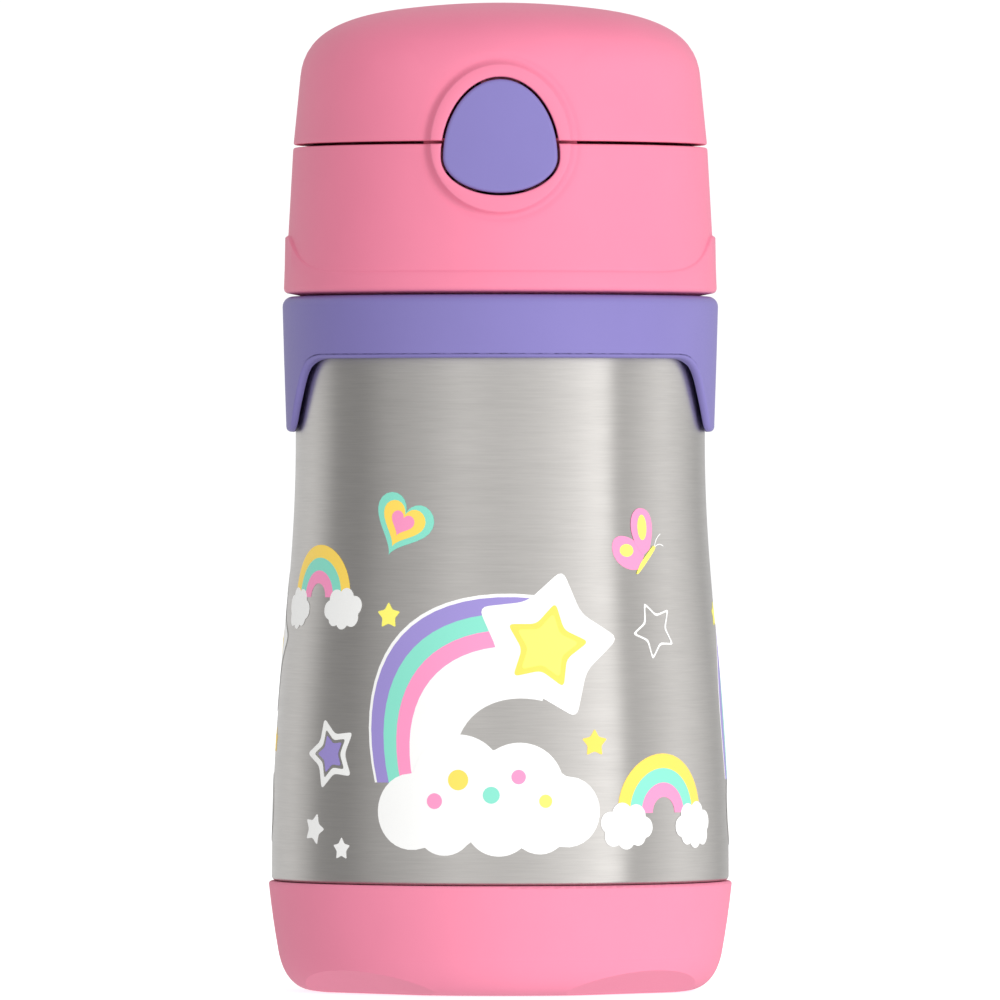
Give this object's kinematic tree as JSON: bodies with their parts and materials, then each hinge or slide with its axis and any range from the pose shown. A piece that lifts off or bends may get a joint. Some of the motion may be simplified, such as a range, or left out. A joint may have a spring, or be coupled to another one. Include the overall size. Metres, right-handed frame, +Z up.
{
  "type": "kids water bottle",
  "caption": "Small insulated steel drinking bottle with a screw lid, a push-button flip cover, a folding straw mouthpiece, a grip collar and a soft boot.",
  "frame": {"origin": "centre of the base, on the surface the bottle stands on", "axes": "+Z up along the bottle's axis; the release button faces -Y; +X to the right seen from the button"},
  "size_m": [0.0774, 0.0774, 0.165],
  "materials": {
    "brushed_steel": "fine brushing round the axis",
    "liner_steel": "satin, drawn",
    "seal_glass": "fused bead",
    "getter_metal": "pressed powder",
    "pink_rubber": "soft matte",
    "pink_plastic": "fine matte grain",
    "purple_plastic": "fine matte grain",
    "white_plastic": "satin",
    "silicone": "soft, slightly cloudy",
    "straw_plastic": "cloudy, smooth",
    "spring_steel": "bright drawn wire"
  },
  "bodies": {
    "flask": {"outer_shell": "brushed_steel", "inner_liner": "liner_steel", "shell_base_plate": "liner_steel", "evacuation_seal": "seal_glass", "vacuum_getter": "getter_metal", "base_boot": "pink_rubber", "grip_collar": "purple_plastic"},
    "lid_rise": {"lid_gasket": "silicone"},
    "lid": {"lid_shell": "pink_plastic", "lid_deck": "pink_plastic", "lid_core": "white_plastic", "mouthpiece_base": "silicone", "mouthpiece_neck": "silicone", "straw": "straw_plastic", "vent_valve": "silicone", "hinge_pin": "spring_steel", "cover_spring": "spring_steel", "button_spring": "spring_steel"},
    "cover": {"flip_cover": "pink_plastic", "cover_liner": "pink_plastic"},
    "spout": {"mouthpiece_spout": "silicone"},
    "button": {"release_button": "purple_plastic"}
  },
  "joints": [
    {"name": "lid_rise", "type": "slide", "parent": "flask", "child": "lid_rise", "axis": [0, 0, 1], "range_m": [0, 0.006]},
    {"name": "lid_turn", "type": "hinge", "parent": "lid_rise", "child": "lid", "pos_m": [0, 0, 0.12], "axis": [0, 0, 1], "range_deg": [0, 540]},
    {"name": "cover_hinge", "type": "hinge", "parent": "lid", "child": "cover", "pos_m": [0, 0.0356, 0.141], "axis": [-1, 0, 0], "range_deg": [0, 120], "deforming": ["cover_spring", "mouthpiece_neck"]},
    {"name": "spout_fold", "type": "hinge", "parent": "lid", "child": "spout", "pos_m": [0, 0.002, 0.1403], "axis": [-1, 0, 0], "range_deg": [0, 62], "deforming": ["mouthpiece_neck"]},
    {"name": "button_press", "type": "slide", "parent": "lid", "child": "button", "axis": [0, 1, 0], "range_m": [0, 0.002], "stiffness_N_per_m": 400, "springref_m": -0.001, "deforming": ["button_spring"]}
  ],
  "couplings": [
    {"joint": "lid_turn", "follows": "lid_rise", "rad_per_m": 1570.8},
    {"joint": "spout_fold", "follows": "cover_hinge", "ratio": 0.51667}
  ]
}
